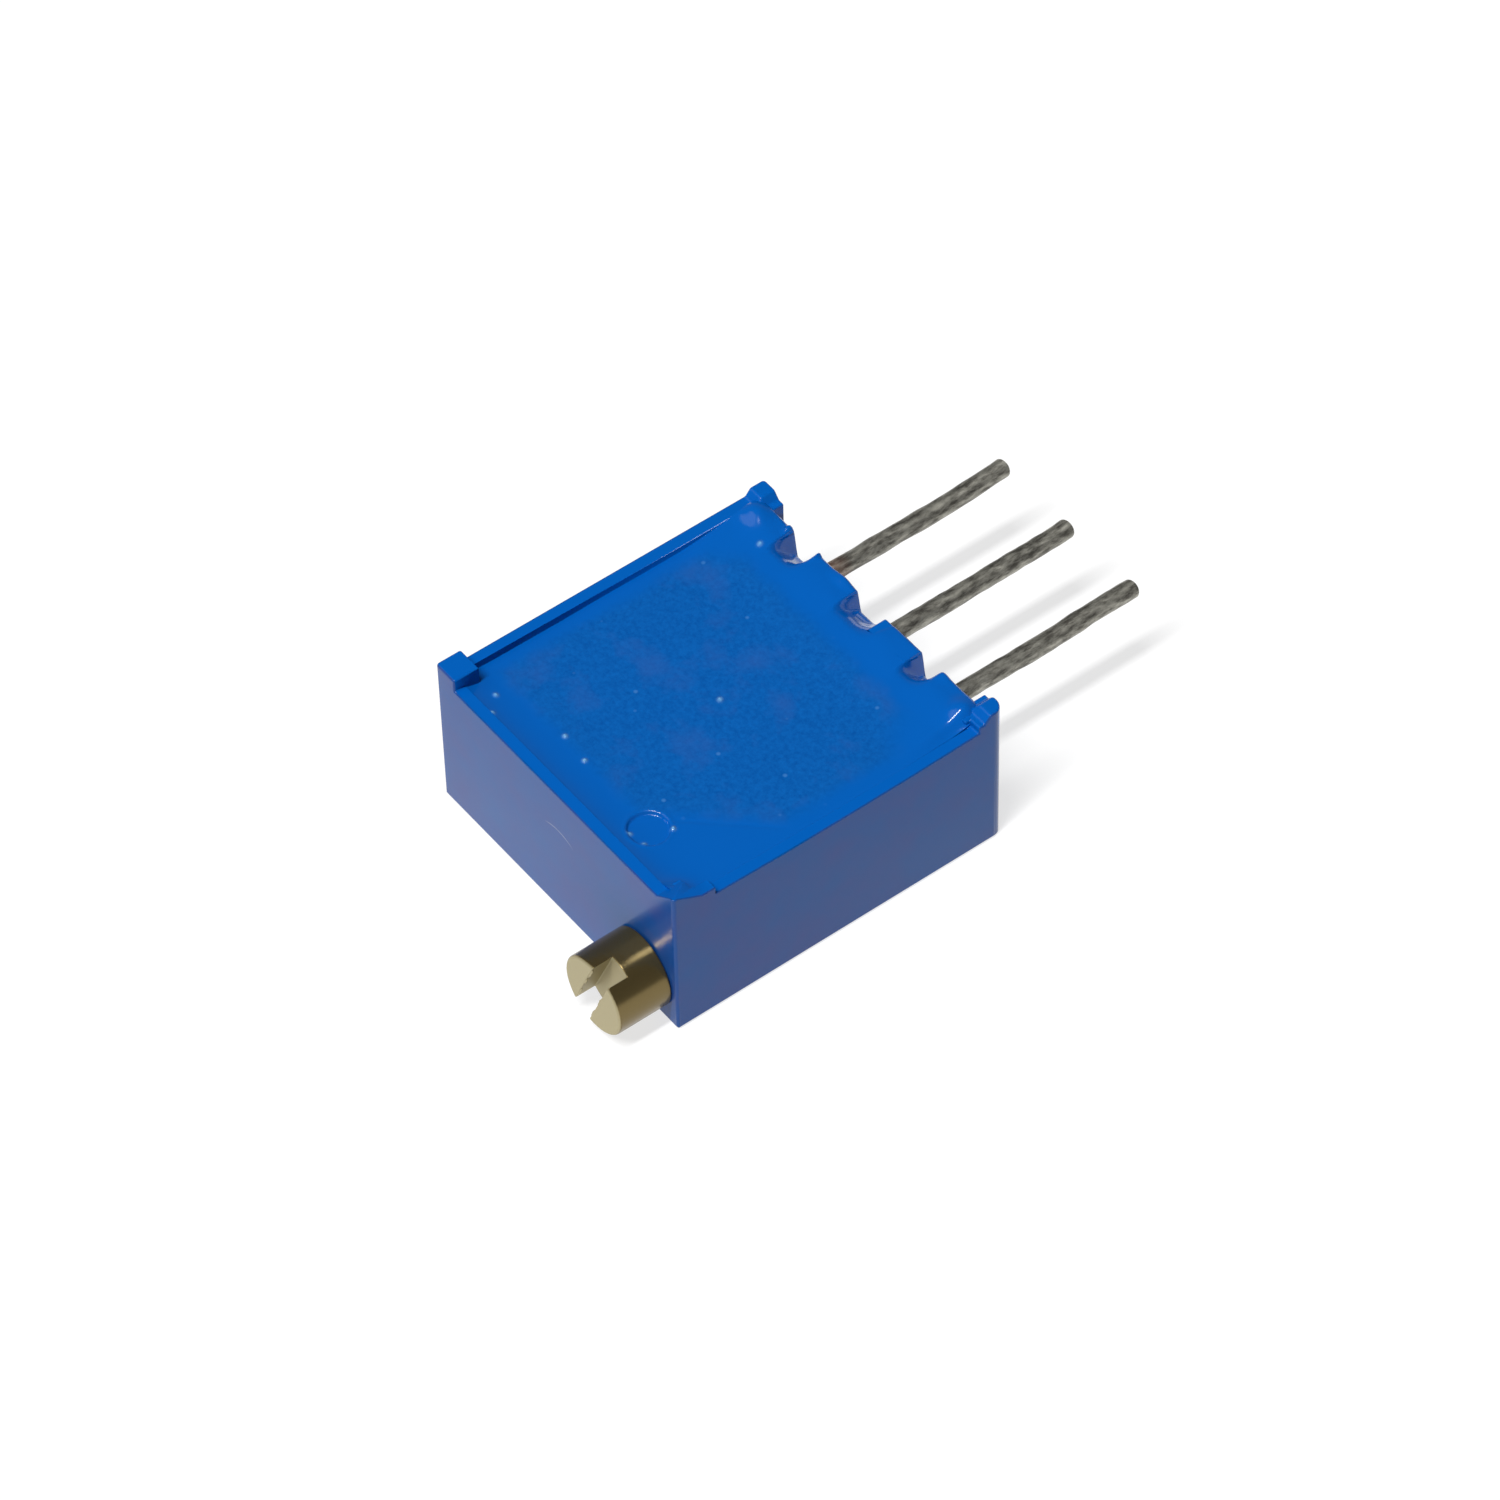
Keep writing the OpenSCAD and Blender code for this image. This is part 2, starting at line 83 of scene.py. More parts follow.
def bumpAt(x, y, centreX, centreY, radius):
    # bell of height 1: exp of minus the squared distance over the squared radius
    return np.exp(-((x - centreX) ** 2 + (y - centreY) ** 2) / radius ** 2)


def ripple(x, y, step, seed):
    # sum of six sine waves in seeded directions, between about -1 and 1, with wavelengths near step
    rng = np.random.default_rng(seed)
    total = 0
    for _ in range(6):
        angle, phase, stretch = rng.uniform(0, 2 * np.pi, 2).tolist() + [rng.uniform(0.7, 1.5)]
        along = x * np.cos(angle) + y * np.sin(angle)
        total = total + np.sin(2 * np.pi * along / (step * stretch) + phase)
    return total / 4


def meshPiece(name, points, faces, body, material):
    # points in mm, faces as rows of indices; the piece stays at the origin
    mesh = bpy.data.meshes.new(name)
    mesh.from_pydata((np.asarray(points) * mm).tolist(), [], [list(f) for f in faces])
    mesh.validate()
    mesh.polygons.foreach_set("use_smooth", np.ones(len(mesh.polygons), bool))
    mesh.materials.append(material)
    piece = bpy.data.objects.new(name, mesh)
    bpy.context.scene.collection.objects.link(piece)
    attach(piece, body)
    return piece


def gridFaces(rows, columns, wrap):
    # quads of a rows by columns grid of points; wrap closes it along the columns
    i = np.arange(rows - 1)[:, None]
    j = np.arange(columns if wrap else columns - 1)[None, :]
    k = (j + 1) % columns
    quads = [i * columns + j, i * columns + k, (i + 1) * columns + k, (i + 1) * columns + j]
    return np.stack([q.ravel() for q in np.broadcast_arrays(*quads)], axis=1).tolist()


def tubeFaces(rows, columns):
    # a closed tube of rings: quads between the rings, then one cap on each end
    faces = gridFaces(rows, columns, True)
    faces.append(list(range(columns))[::-1])
    faces.append([(rows - 1) * columns + k for k in range(columns)])
    return faces


def cadCopy(node, name, material, body, bevel, weight):
    # copy of a CAD node: doubles merged, flat areas joined, sharp edges eased by weight(a, b)
    source = frame["nodes"][node]
    mesh = source.data.copy()
    piece = bpy.data.objects.new(name, mesh)
    bpy.context.scene.collection.objects.link(piece)
    work = bmesh.new()
    work.from_mesh(mesh)
    bmesh.ops.remove_doubles(work, verts=work.verts, dist=0.0008 * mm)
    bmesh.ops.dissolve_degenerate(work, edges=work.edges, dist=0.0008 * mm)
    bmesh.ops.dissolve_limit(work, angle_limit=math.radians(0.6), verts=work.verts, edges=work.edges)
    layer = work.edges.layers.float.new("bevel_weight_edge")
    for edge in work.edges:
        if edge.calc_face_angle(0) > math.radians(28):
            edge[layer] = weight(edge.verts[0].co, edge.verts[1].co)
    work.to_mesh(mesh)
    work.free()
    mesh.materials.clear()
    mesh.materials.append(material)
    mesh.polygons.foreach_set("use_smooth", np.ones(len(mesh.polygons), bool))
    if "custom_normal" in mesh.attributes:
        mesh.attributes.remove(mesh.attributes["custom_normal"])
    ease = piece.modifiers.new("eased edges", "BEVEL")
    ease.width = bevel * mm
    ease.segments = 3
    ease.limit_method = "WEIGHT"
    ease.use_clamp_overlap = False
    ease.harden_normals = True
    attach(piece, body)
    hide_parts(node)
    return piece


def addNode(tree, kind, settings=None, stops=None, **links):
    # one node: settings are its properties or input values, stops a ramp's (place, colour) pairs,
    # links its inputs by name, or by number after an underscore, each = (node, output)
    node = tree.nodes.new(kind)
    for key, value in (settings or {}).items():
        if isinstance(key, str) and hasattr(node, key) and key not in node.inputs:
            setattr(node, key, value)
        else:
            node.inputs[key].default_value = value
    if stops:
        ramp = node.color_ramp.elements
        while len(ramp) < len(stops):
            ramp.new(0.5)
        for element, (place, colour) in zip(ramp, stops):
            element.position = place
            element.color = toLinear(colour) if isinstance(colour, str) else (colour, colour, colour, 1)
    for key, (source, output) in links.items():
        socket = node.inputs[int(key[1:]) if key[0] == "_" else key.replace("_", " ")]
        tree.links.new(source.outputs[output], socket)
    return node


def newMaterial(name):
    material = bpy.data.materials.new(name)
    material.use_nodes = True
    tree = material.node_tree
    shader = tree.nodes["Principled BSDF"]
    coords = addNode(tree, "ShaderNodeTexCoord")
    return material, tree, shader, coords


def mouldedPolyester():
    # PBT polyester, injection moulded against a polished tool: deep blue and glossy, with a faint haze and
    # handling stains a millimetre or two across; the epoxy wetted the rim's top and left it a brighter blue
    look = {"blue": "#034c93", "worn": "#30468a", "wetted": "#005cb5", "grainSize": 0.08,
            "grainDepth": 0.0006, "stainSize": 1.7, "wetHeight": 4.05, "edge": 0.05, "scratch": "#c9cfda",
            "scratchWidth": 0.03,
            "curl": (0.1, -5.015, 1.9), "curlRadius": 1.2, "hold": (0.15, -5.015, 3.1), "holdRadius": 0.6}
    material, tree, shader, coords = newMaterial("PBT polyester, moulded")
    stains = addNode(tree, "ShaderNodeTexNoise", {"Scale": 1 / (look["stainSize"] * mm), "Detail": 2.5,
                     "Roughness": 0.55}, Vector=(coords, "Object"))
    colour = addNode(tree, "ShaderNodeValToRGB", None, [(0.35, look["blue"]), (0.8, look["worn"])],
                     Fac=(stains, "Fac"))
    haze = addNode(tree, "ShaderNodeValToRGB", None, [(0.1, 0.14), (0.9, 0.25)], Fac=(stains, "Fac"))
    grain = addNode(tree, "ShaderNodeTexNoise", {"Scale": 1 / (look["grainSize"] * mm), "Detail": 2.0,
                    "Roughness": 0.55}, Vector=(coords, "Object"))
    bump = addNode(tree, "ShaderNodeBump", {"Strength": 0.5, "Distance": look["grainDepth"] * mm},
                   Height=(grain, "Fac"))
    # wetted where it is above the fill's level and inside the outer edges: product of three short ramps
    places = addNode(tree, "ShaderNodeSeparateXYZ", None, Vector=(coords, "Object"))
    aside = addNode(tree, "ShaderNodeMath", {"operation": "ABSOLUTE"}, _0=(places, "X"))
    wet = addNode(tree, "ShaderNodeMapRange", {"From Min": look["wetHeight"] * mm,
                                               "From Max": (look["wetHeight"] + 0.1) * mm},
                  Value=(places, "Z"))
    for source, output, edge, inward in ((aside, 0, bodyHigh[0], -1), (places, "Y", bodyLow[1], 1)):
        inside = addNode(tree, "ShaderNodeMapRange", {"From Min": (edge + inward * look["edge"] / 2) * mm,
                         "From Max": (edge + inward * look["edge"]) * mm}, Value=(source, output))
        wet = addNode(tree, "ShaderNodeMath", {"operation": "MULTIPLY"}, _0=(wet, 0), _1=(inside, 0))
    covered = addNode(tree, "ShaderNodeMix", {"data_type": "RGBA", 7: toLinear(look["wetted"])},
                      _0=(wet, 0), _6=(colour, 0))
    # one curved scratch on the screw's face: a thin shell round one point, kept where a ball round
    # another holds it
    shell = addNode(tree, "ShaderNodeVectorMath", {"operation": "DISTANCE",
                                                   1: tuple(v * mm for v in look["curl"])},
                    _0=(coords, "Object"))
    off = addNode(tree, "ShaderNodeMath", {"operation": "SUBTRACT", 1: look["curlRadius"] * mm},
                  _0=(shell, "Value"))
    thin = addNode(tree, "ShaderNodeMath", {"operation": "ABSOLUTE"}, _0=(off, 0))
    line = addNode(tree, "ShaderNodeMapRange", {"From Max": look["scratchWidth"] * mm, "To Min": 1.0,
                                                "To Max": 0.0},
                   Value=(thin, 0))
    ball = addNode(tree, "ShaderNodeVectorMath", {"operation": "DISTANCE",
                                                  1: tuple(v * mm for v in look["hold"])},
                   _0=(coords, "Object"))
    held = addNode(tree, "ShaderNodeMapRange", {"From Min": look["holdRadius"] / 2 * mm,
                                                "From Max": look["holdRadius"] * mm,
                   "To Min": 0.35, "To Max": 0.0}, Value=(ball, "Value"))
    scratch = addNode(tree, "ShaderNodeMath", {"operation": "MULTIPLY"}, _0=(line, 0), _1=(held, 0))
    marked = addNode(tree, "ShaderNodeMix", {"data_type": "RGBA", 7: toLinear(look["scratch"])},
                     _0=(scratch, 0),
                     _6=(covered, 2))
    tree.links.new(marked.outputs[2], shader.inputs["Base Color"])
    tree.links.new(haze.outputs[0], shader.inputs["Roughness"])
    tree.links.new(bump.outputs[0], shader.inputs["Normal"])
    shader.inputs["IOR"].default_value = 1.5
    shader.inputs["Specular IOR Level"].default_value = 0.2
    return material


def castEpoxy():
    # filled blue epoxy, poured and cured: glossy where it is thick, matt and speckled over the plate;
    # the real filler grains are near 0.02 mm and are drawn coarser, as 0.13 mm clumps, so that they show
    look = {"gloss": "#005cb5", "dark": "#0051a0", "pale": "#0661b4", "paintedGlint": "#3c7cc0",
            "stain": "#2a5aa6", "crumbGlint": "#79b2de", "speckSize": 0.13, "glintSpotSize": 0.9, "cloudSize": 1.3,
            "speckDepth": 0.006}
    material, tree, shader, coords = newMaterial("Epoxy, cast")
    plate = addNode(tree, "ShaderNodeAttribute", {"attribute_name": "overPlate"})
    crumbGlint = addNode(tree, "ShaderNodeAttribute", {"attribute_name": "crumbGlint"})
    speck = addNode(tree, "ShaderNodeTexNoise", {"Scale": 1 / (look["speckSize"] * mm), "Detail": 4.0,
                    "Roughness": 0.7}, Vector=(coords, "Object"))
    fine = addNode(tree, "ShaderNodeValToRGB", None, [(0.3, look["dark"]), (0.7, look["pale"])],
                   Fac=(speck, "Fac"))
    # sparse pale spots on the matt part: painted glints, standing for light caught by tiny bumps
    paintedGlint = addNode(tree, "ShaderNodeTexVoronoi", {"Scale": 1 / (look["glintSpotSize"] * mm)},
                    Vector=(coords, "Object"))
    glintSpots = addNode(tree, "ShaderNodeValToRGB", None, [(0.03, 0.7), (0.08, 0.0)], Fac=(paintedGlint, "Distance"))
    mattColour = addNode(tree, "ShaderNodeMix", {"data_type": "RGBA", 7: toLinear(look["paintedGlint"])},
                         _0=(glintSpots, 0),
                         _6=(fine, 0))
    cloud = addNode(tree, "ShaderNodeTexNoise", {"Scale": 1 / (look["cloudSize"] * mm), "Detail": 3.0,
                    "Roughness": 0.55}, Vector=(coords, "Object"))
    stained = addNode(tree, "ShaderNodeValToRGB", None, [(0.52, 0.0), (0.75, 0.5)], Fac=(cloud, "Fac"))
    skin = addNode(tree, "ShaderNodeMix", {"data_type": "RGBA", 7: toLinear(look["stain"])},
                   _0=(stained, 0),
                   _6=(mattColour, 2))
    colour = addNode(tree, "ShaderNodeMix", {"data_type": "RGBA", 6: toLinear(look["gloss"])},
                     _0=(plate, "Fac"), _7=(skin, 2))
    # the crumbs' pale colour is a painted highlight, standing for glints on the grains; the grains' bumps are
    # real
    glintOnCrumbs = addNode(tree, "ShaderNodeMix", {"data_type": "RGBA", 7: toLinear(look["crumbGlint"])},
                      _0=(crumbGlint, "Fac"),
                      _6=(colour, 2))
    rough = addNode(tree, "ShaderNodeMapRange", {"To Min": 0.14, "To Max": 0.25}, Value=(plate, "Fac"))
    height = addNode(tree, "ShaderNodeMath", {"operation": "MULTIPLY"}, _0=(speck, "Fac"),
                     _1=(plate, "Fac"))
    bump = addNode(tree, "ShaderNodeBump", {"Strength": 0.8, "Distance": look["speckDepth"] * mm},
                   Height=(height, 0))
    tree.links.new(glintOnCrumbs.outputs[2], shader.inputs["Base Color"])
    tree.links.new(rough.outputs[0], shader.inputs["Roughness"])
    tree.links.new(bump.outputs[0], shader.inputs["Normal"])
    shader.inputs["Specular IOR Level"].default_value = 0.35
    return material


def turnedBrass():
    # free-cutting brass: turned sides with fine rings, sawn face and slot that scatter more;
    # its two colours are a shaded and a lit tone of one brass: the turned sides painted darker as shade
    # for dim surroundings, the sawn face and slot painted paler as light; the tool's real rings are near
    # 0.03 mm apart
    look = {"turned": "#766640", "sawn": "#b5ab88", "ringPitch": 0.03, "ringDepth": 0.002, "skin": 0.008,
            "sawnDepth": 0.03}
    material, tree, shader, coords = newMaterial("Brass, turned and sawn")
    axis = addNode(tree, "ShaderNodeMapping", {"Location": (-headCentre[0] * mm, 0, -headCentre[2] * mm),
                   "Scale": (1, 0, 1)}, Vector=(coords, "Object"))
    reach = addNode(tree, "ShaderNodeVectorMath", {"operation": "LENGTH"}, _0=(axis, 0))
    sawn = addNode(tree, "ShaderNodeMapRange", {"From Min": (headRadius - look["skin"]) * mm,
                   "From Max": (headRadius - look["sawnDepth"]) * mm}, Value=(reach, "Value"))
    # painted shade on the turned sides, painted light on the sawn face and slot
    colour = addNode(tree, "ShaderNodeMix", {"data_type": "RGBA", 6: toLinear(look["turned"]),
                                             7: toLinear(look["sawn"])},
                     _0=(sawn, 0))
    rough = addNode(tree, "ShaderNodeMapRange", {"To Min": 0.24, "To Max": 0.55}, Value=(sawn, 0))
    rings = addNode(tree, "ShaderNodeTexWave", {"wave_type": "BANDS", "bands_direction": "Y",
                    "Scale": 1 / (look["ringPitch"] * mm) / 20, "Distortion": 1.5, "Detail": 2.0},
                    Vector=(coords, "Object"))
    bump = addNode(tree, "ShaderNodeBump", {"Strength": 0.3, "Distance": look["ringDepth"] * mm},
                   Height=(rings, "Fac"))
    tree.links.new(colour.outputs[2], shader.inputs["Base Color"])
    tree.links.new(rough.outputs[0], shader.inputs["Roughness"])
    tree.links.new(bump.outputs[0], shader.inputs["Normal"])
    shader.inputs["Metallic"].default_value = 0.78
    return material


def dippedTin():
    # copper wire dipped in tin: dull grey, lighter and darker smears a few tenths of a millimetre long;
    # on the far lead the tin is thin beside the fill and the copper tints it
    look = {"light": "#b7b5aa", "dark": "#63615a", "copper": "#b06a4c", "smear": 0.14, "stretch": 0.3,
            "relief": 0.015, "thinFrom": 5.1, "thinTo": 5.9, "side": -1.5}
    material, tree, shader, coords = newMaterial("Tin, hot dipped on copper wire")
    stretch = addNode(tree, "ShaderNodeMapping", {"Scale": (1, look["stretch"], 1)},
                      Vector=(coords, "Object"))
    smear = addNode(tree, "ShaderNodeTexNoise", {"Scale": 1 / (look["smear"] * mm), "Detail": 6.0,
                                                 "Roughness": 0.65},
                    Vector=(stretch, 0))
    colour = addNode(tree, "ShaderNodeValToRGB", None, [(0.38, look["dark"]), (0.64, look["light"])],
                     Fac=(smear, "Fac"))
    bump = addNode(tree, "ShaderNodeBump", {"Strength": 0.9, "Distance": look["relief"] * mm},
                   Height=(smear, "Fac"))
    split = addNode(tree, "ShaderNodeSeparateXYZ", None, Vector=(coords, "Object"))
    root = addNode(tree, "ShaderNodeMapRange", {"From Min": look["thinFrom"] * mm,
                                                "From Max": look["thinTo"] * mm,
                   "To Min": 0.5, "To Max": 0.0}, Value=(split, "Y"))
    far = addNode(tree, "ShaderNodeMapRange", {"From Min": look["side"] * mm,
                                               "From Max": (look["side"] - 0.5) * mm},
                  Value=(split, "X"))
    thinTin = addNode(tree, "ShaderNodeMath", {"operation": "MULTIPLY"}, _0=(root, 0), _1=(far, 0))
    tinned = addNode(tree, "ShaderNodeMix", {"data_type": "RGBA", 7: toLinear(look["copper"])},
                     _0=(thinTin, 0),
                     _6=(colour, 0))
    tree.links.new(tinned.outputs[2], shader.inputs["Base Color"])
    tree.links.new(bump.outputs[0], shader.inputs["Normal"])
    shader.inputs["Metallic"].default_value = 0.85
    shader.inputs["Roughness"].default_value = 0.5
    return material


def plainFinish(name, low, high, size, metallic, roughness, depth):
    # hidden pieces: two close tones mottled at the real grain size in mm, with a little relief
    material, tree, shader, coords = newMaterial(name)
    mottle = addNode(tree, "ShaderNodeTexNoise", {"Scale": 1 / (size * mm), "Detail": 4.0,
                                                  "Roughness": 0.55},
                     Vector=(coords, "Object"))
    colour = addNode(tree, "ShaderNodeValToRGB", None, [(0.35, low), (0.65, high)], Fac=(mottle, "Fac"))
    bump = addNode(tree, "ShaderNodeBump", {"Strength": 0.5, "Distance": depth * mm},
                   Height=(mottle, "Fac"))
    tree.links.new(colour.outputs[0], shader.inputs["Base Color"])
    tree.links.new(bump.outputs[0], shader.inputs["Normal"])
    shader.inputs["Metallic"].default_value = metallic
    shader.inputs["Roughness"].default_value = roughness
    return material


bodyPlastic = mouldedPolyester()
epoxy = castEpoxy()
brass = turnedBrass()
tin = dippedTin()
finishes = {
    "body_plastic": bodyPlastic,
    "potting_epoxy": epoxy,
    "turned_brass": brass,
    "tinned_copper": tin,
    "alumina": plainFinish("Alumina, sintered", "#e4dfd2", "#f1eee6", 0.02, 0.0, 0.6, 0.001),
    "cermet_film": plainFinish("Cermet film, fired", "#2a2725", "#3a3633", 0.05, 0.0, 0.45, 0.002),
    "silver_film": plainFinish("Silver palladium film, fired", "#aba79a", "#c4c0b2", 0.05, 1.0, 0.5, 0.002),
    "solder": plainFinish("Tin solder, reflowed", "#a3a5a6", "#bfc1c2", 0.12, 1.0, 0.32, 0.004),
    "silicone": plainFinish("Silicone rubber, moulded", "#7d2417", "#8f2c1c", 0.1, 0.0, 0.7, 0.002),
    "spring_steel": plainFinish("Spring steel, stamped", "#8e8d88", "#a3a29c", 0.1, 1.0, 0.35, 0.001),
    "nylon": plainFinish("Nylon, moulded", "#e0dcca", "#ece9dc", 0.2, 0.0, 0.5, 0.002),
    "wiper_alloy": plainFinish("Precious metal alloy, stamped", "#c9b27a", "#d9c590", 0.1, 1.0,
                               0.28, 0.001),
}
print("materials made")


def makeCamera():
    # long lens from the screw's corner, looking down on the open face
    view = {"azimuth": 53.993, "elevation": 49.441, "roll": -1.802, "distance": 180.318,
            "lens": 177.66, "shiftX": 0.0189, "shiftY": -0.0014, "target": (0, 0, 2.415)}
    a, e, roll = (math.radians(view[k]) for k in ("azimuth", "elevation", "roll"))
    back = Vector((math.sin(a) * math.cos(e), -math.cos(a) * math.cos(e), math.sin(e)))
    side = Vector((0, 0, 1)).cross(back).normalized()
    up = back.cross(side)
    right = side * math.cos(roll) + up * math.sin(roll)
    up = back.cross(right)
    camera = bpy.data.objects.new("camera", bpy.data.cameras.new("camera"))
    bpy.context.scene.collection.objects.link(camera)
    place = (Vector(view["target"]) + back * view["distance"]) * mm
    matrix = camera.matrix_world.copy()
    for row in range(3):
        matrix[row] = (right[row], up[row], back[row], place[row])
    camera.matrix_world = matrix
    camera.data.lens = view["lens"]
    camera.data.sensor_width = 36
    camera.data.shift_x = view["shiftX"]
    camera.data.shift_y = view["shiftY"]
    camera.data.clip_start = 0.005
    camera.data.clip_end = 20
    bpy.context.scene.camera = camera


def softLight(name, direction, distance, across, along, power):
    # a rectangular soft box that faces the part: along is its side nearest the Y axis, across the other
    light = bpy.data.lights.new(name, "AREA")
    light.shape = "RECTANGLE"
    light.size = across
    light.size_y = along
    light.energy = power
    lamp = bpy.data.objects.new(name, light)
    bpy.context.scene.collection.objects.link(lamp)
    towards = Vector(direction).normalized()
    side = Vector((0, 1, 0)) - towards * towards.y
    side.normalize()
    turned = Matrix((side.cross(towards), side, towards)).transposed().to_4x4()
    lamp.matrix_world = Matrix.Translation(towards * distance) @ turned
    return lamp


makeCamera()
studio = {"stripPower": 3.6, "fillPower": 0.9, "walls": 0.12, "ceiling": 0.07, "floor": "#9a9a9a",
          "glow": 0.72}
softLight("strip", (0.117, -0.39, 0.913), 0.6, 0.05, 0.3, studio["stripPower"])
softLight("fill", (-0.35, -0.55, 0.76), 0.8, 0.5, 0.5, studio["fillPower"])
world = bpy.data.worlds.new("studio")
world.use_nodes = True
sky = world.node_tree
skyCoords = addNode(sky, "ShaderNodeTexCoord")
skyHeight = addNode(sky, "ShaderNodeSeparateXYZ", None, Vector=(skyCoords, "Generated"))
skyLevel = addNode(sky, "ShaderNodeMapRange", {"From Min": 0.35, "From Max": 0.65,
                   "To Min": studio["walls"], "To Max": studio["ceiling"]}, Value=(skyHeight, "Z"))
sky.links.new(skyLevel.outputs[0], sky.nodes["Background"].inputs["Strength"])
sky.nodes["Background"].inputs["Color"].default_value = (1, 1, 1, 1)
bpy.context.scene.world = world
bpy.context.scene.view_settings.view_transform = "Standard"


def makeFloor():
    # matt white acrylic, lit from below so that the shadow stays faint
    material, tree, shader, coords = newMaterial("Acrylic, matt white")
    shader.inputs["Emission Color"].default_value = (1, 1, 1, 1)
    shader.inputs["Emission Strength"].default_value = studio["glow"]
    shader.inputs["Base Color"].default_value = toLinear(studio["floor"])
    shader.inputs["Roughness"].default_value = 0.9
    shader.inputs["Specular IOR Level"].default_value = 0.0
    half = 600
    points = [(-half, -half, -0.004), (half, -half, -0.004), (half, half, -0.004), (-half, half, -0.004)]
    mesh = bpy.data.meshes.new("floor")
    mesh.from_pydata([tuple(c * mm for c in p) for p in points], [], [(0, 1, 2, 3)])
    mesh.materials.append(material)
    floor = bpy.data.objects.new("floor", mesh)
    bpy.context.scene.collection.objects.link(floor)


makeFloor()
print("camera, lights and floor made")


def nearPost(x, y):
    # 1 at the four corner posts of the rim, 0 elsewhere
    return (np.abs(x) > 3.78) & (np.abs(y) > 3.7)


def easeWeight(a, b):
    # how much of the bevel an edge takes: none on hidden inside edges, most at posts and slot corners
    middle = (a + b) / 2 / mm
    if abs(middle.x) < 4.7 and -4.95 < middle.y < 4.2 and 0.05 < middle.z < 4.1:
        return 0
    if middle.x > 3.5 and middle.y < -3.7:
        return 0.25
    if nearPost(middle.x, middle.y) and min(a.z, b.z) > 4.15 * mm:
        return 0.6
    if middle.y > 4.2 and middle.z > 3.2 and abs(middle.x) < 3.9:
        return 0.9
    return 0.3


housing = cadCopy("housing", "housing_shell", bodyPlastic, "body", 0.1, easeWeight)
print("housing made", len(housing.data.polygons), "faces")

cadCopy("adjusting_screw", "screw_turned", brass, "screw", 0.05, lambda a, b: 0.5)
print("screw made")

# how the epoxy set: heights and lengths in mm
fill = {"top": 4.18, "wallTop": 4.45, "plateRise": 0.02, "creep": 0.2, "ringDepth": 0.08,
        "slotHalf": 0.56, "pinFace": 4.665, "collarReach": 0.14, "collarWidth": 0.08, "film": 4.40,
        "crumbHeight": 0.06, "crumbRadius": 0.055, "blobRadius": 0.38, "rimTop": 4.42, "rearRise": 0.2,
        "sideRim": 4.14, "sideSag": 0.08, "sideHalf": 4.265, "ringX": 2.17, "ringY": -3.8, "ringRadius": 0.55}
# for each terminal from the left: how far the bay drops, and where along it the fill climbs back
bays = [{"x": pinXs[2], "drop": 0.83, "climb": (0.0, 0.5)},
        {"x": pinXs[1], "drop": 0.64, "climb": (0.0, 0.95)},
        {"x": pinXs[0], "drop": 0.80, "climb": (-0.28, 0.34)}]
spikes = [(-3.22, 0.10, 0.07), (-2.06, 0.10, 0.06), (2.84, 0.05, 0.2), (-1.05, 0.08, 0.35)]
crumbs = [(-3.46, -4.19), (-2.97, -4.65), (-1.39, -3.64), (-0.48, -3.73), (2.01, -4.25), (2.48, -4.17),
          (2.53, -3.34), (-0.01, 0), (-3.3, 3.75)]
blobs = [(-4.12, 4.28, 0.24), (4.12, 4.28, 0.2)]


def bayShape(x):
    # 1 in the bottom of a bay, 0 on the wall: steep step on the left, gentle climb on the right
    total = np.zeros_like(x)
    depth = np.zeros_like(x)
    for bay in bays:
        u = x - bay["x"]
        shape = smoothStep(-0.6, -0.42, u) * (1 - smoothStep(bay["climb"][0], bay["climb"][1], u))
        total = total + shape
        depth = depth + shape * bay["drop"]
    return total, depth


def plateInside(x, y):
    # distance inside the ceramic plate's outline, whose front right corner is cut: least of five lines
    edges = [x - plateLow[0], plateHigh[0] - x, y - plateLow[1], plateHigh[1] - y]
    edges.append((2.0 * (plateHigh[0] - x) + 1.89 * (y + 1.175)) / 2.752)
    return np.minimum.reduce(edges)


def plateMask(x, y):
    # 1 where the thin skin over the plate cured matt; two rear corners and the borders stayed glossy
    inside = plateInside(x, y) + 0.07 * ripple(x, y, 0.9, 3) + 0.03 * ripple(x, y, 0.25, 4)
    mask = smoothStep(-0.1, 0.45, inside)
    mask = mask * (1 - smoothStep(0.3, 0.9, bumpAt(x, y, -4.1, 3.4, 1.1)))
    mask = mask * (1 - smoothStep(0.3, 0.9, bumpAt(x, y, 4.2, 3.3, 1.5)))
    return mask


def crumbShape(x, y):
    # small grains stuck in the surface: sum of narrow bells
    return sum(bumpAt(x, y, crumbX, crumbY, fill["crumbRadius"]) for crumbX, crumbY in crumbs)


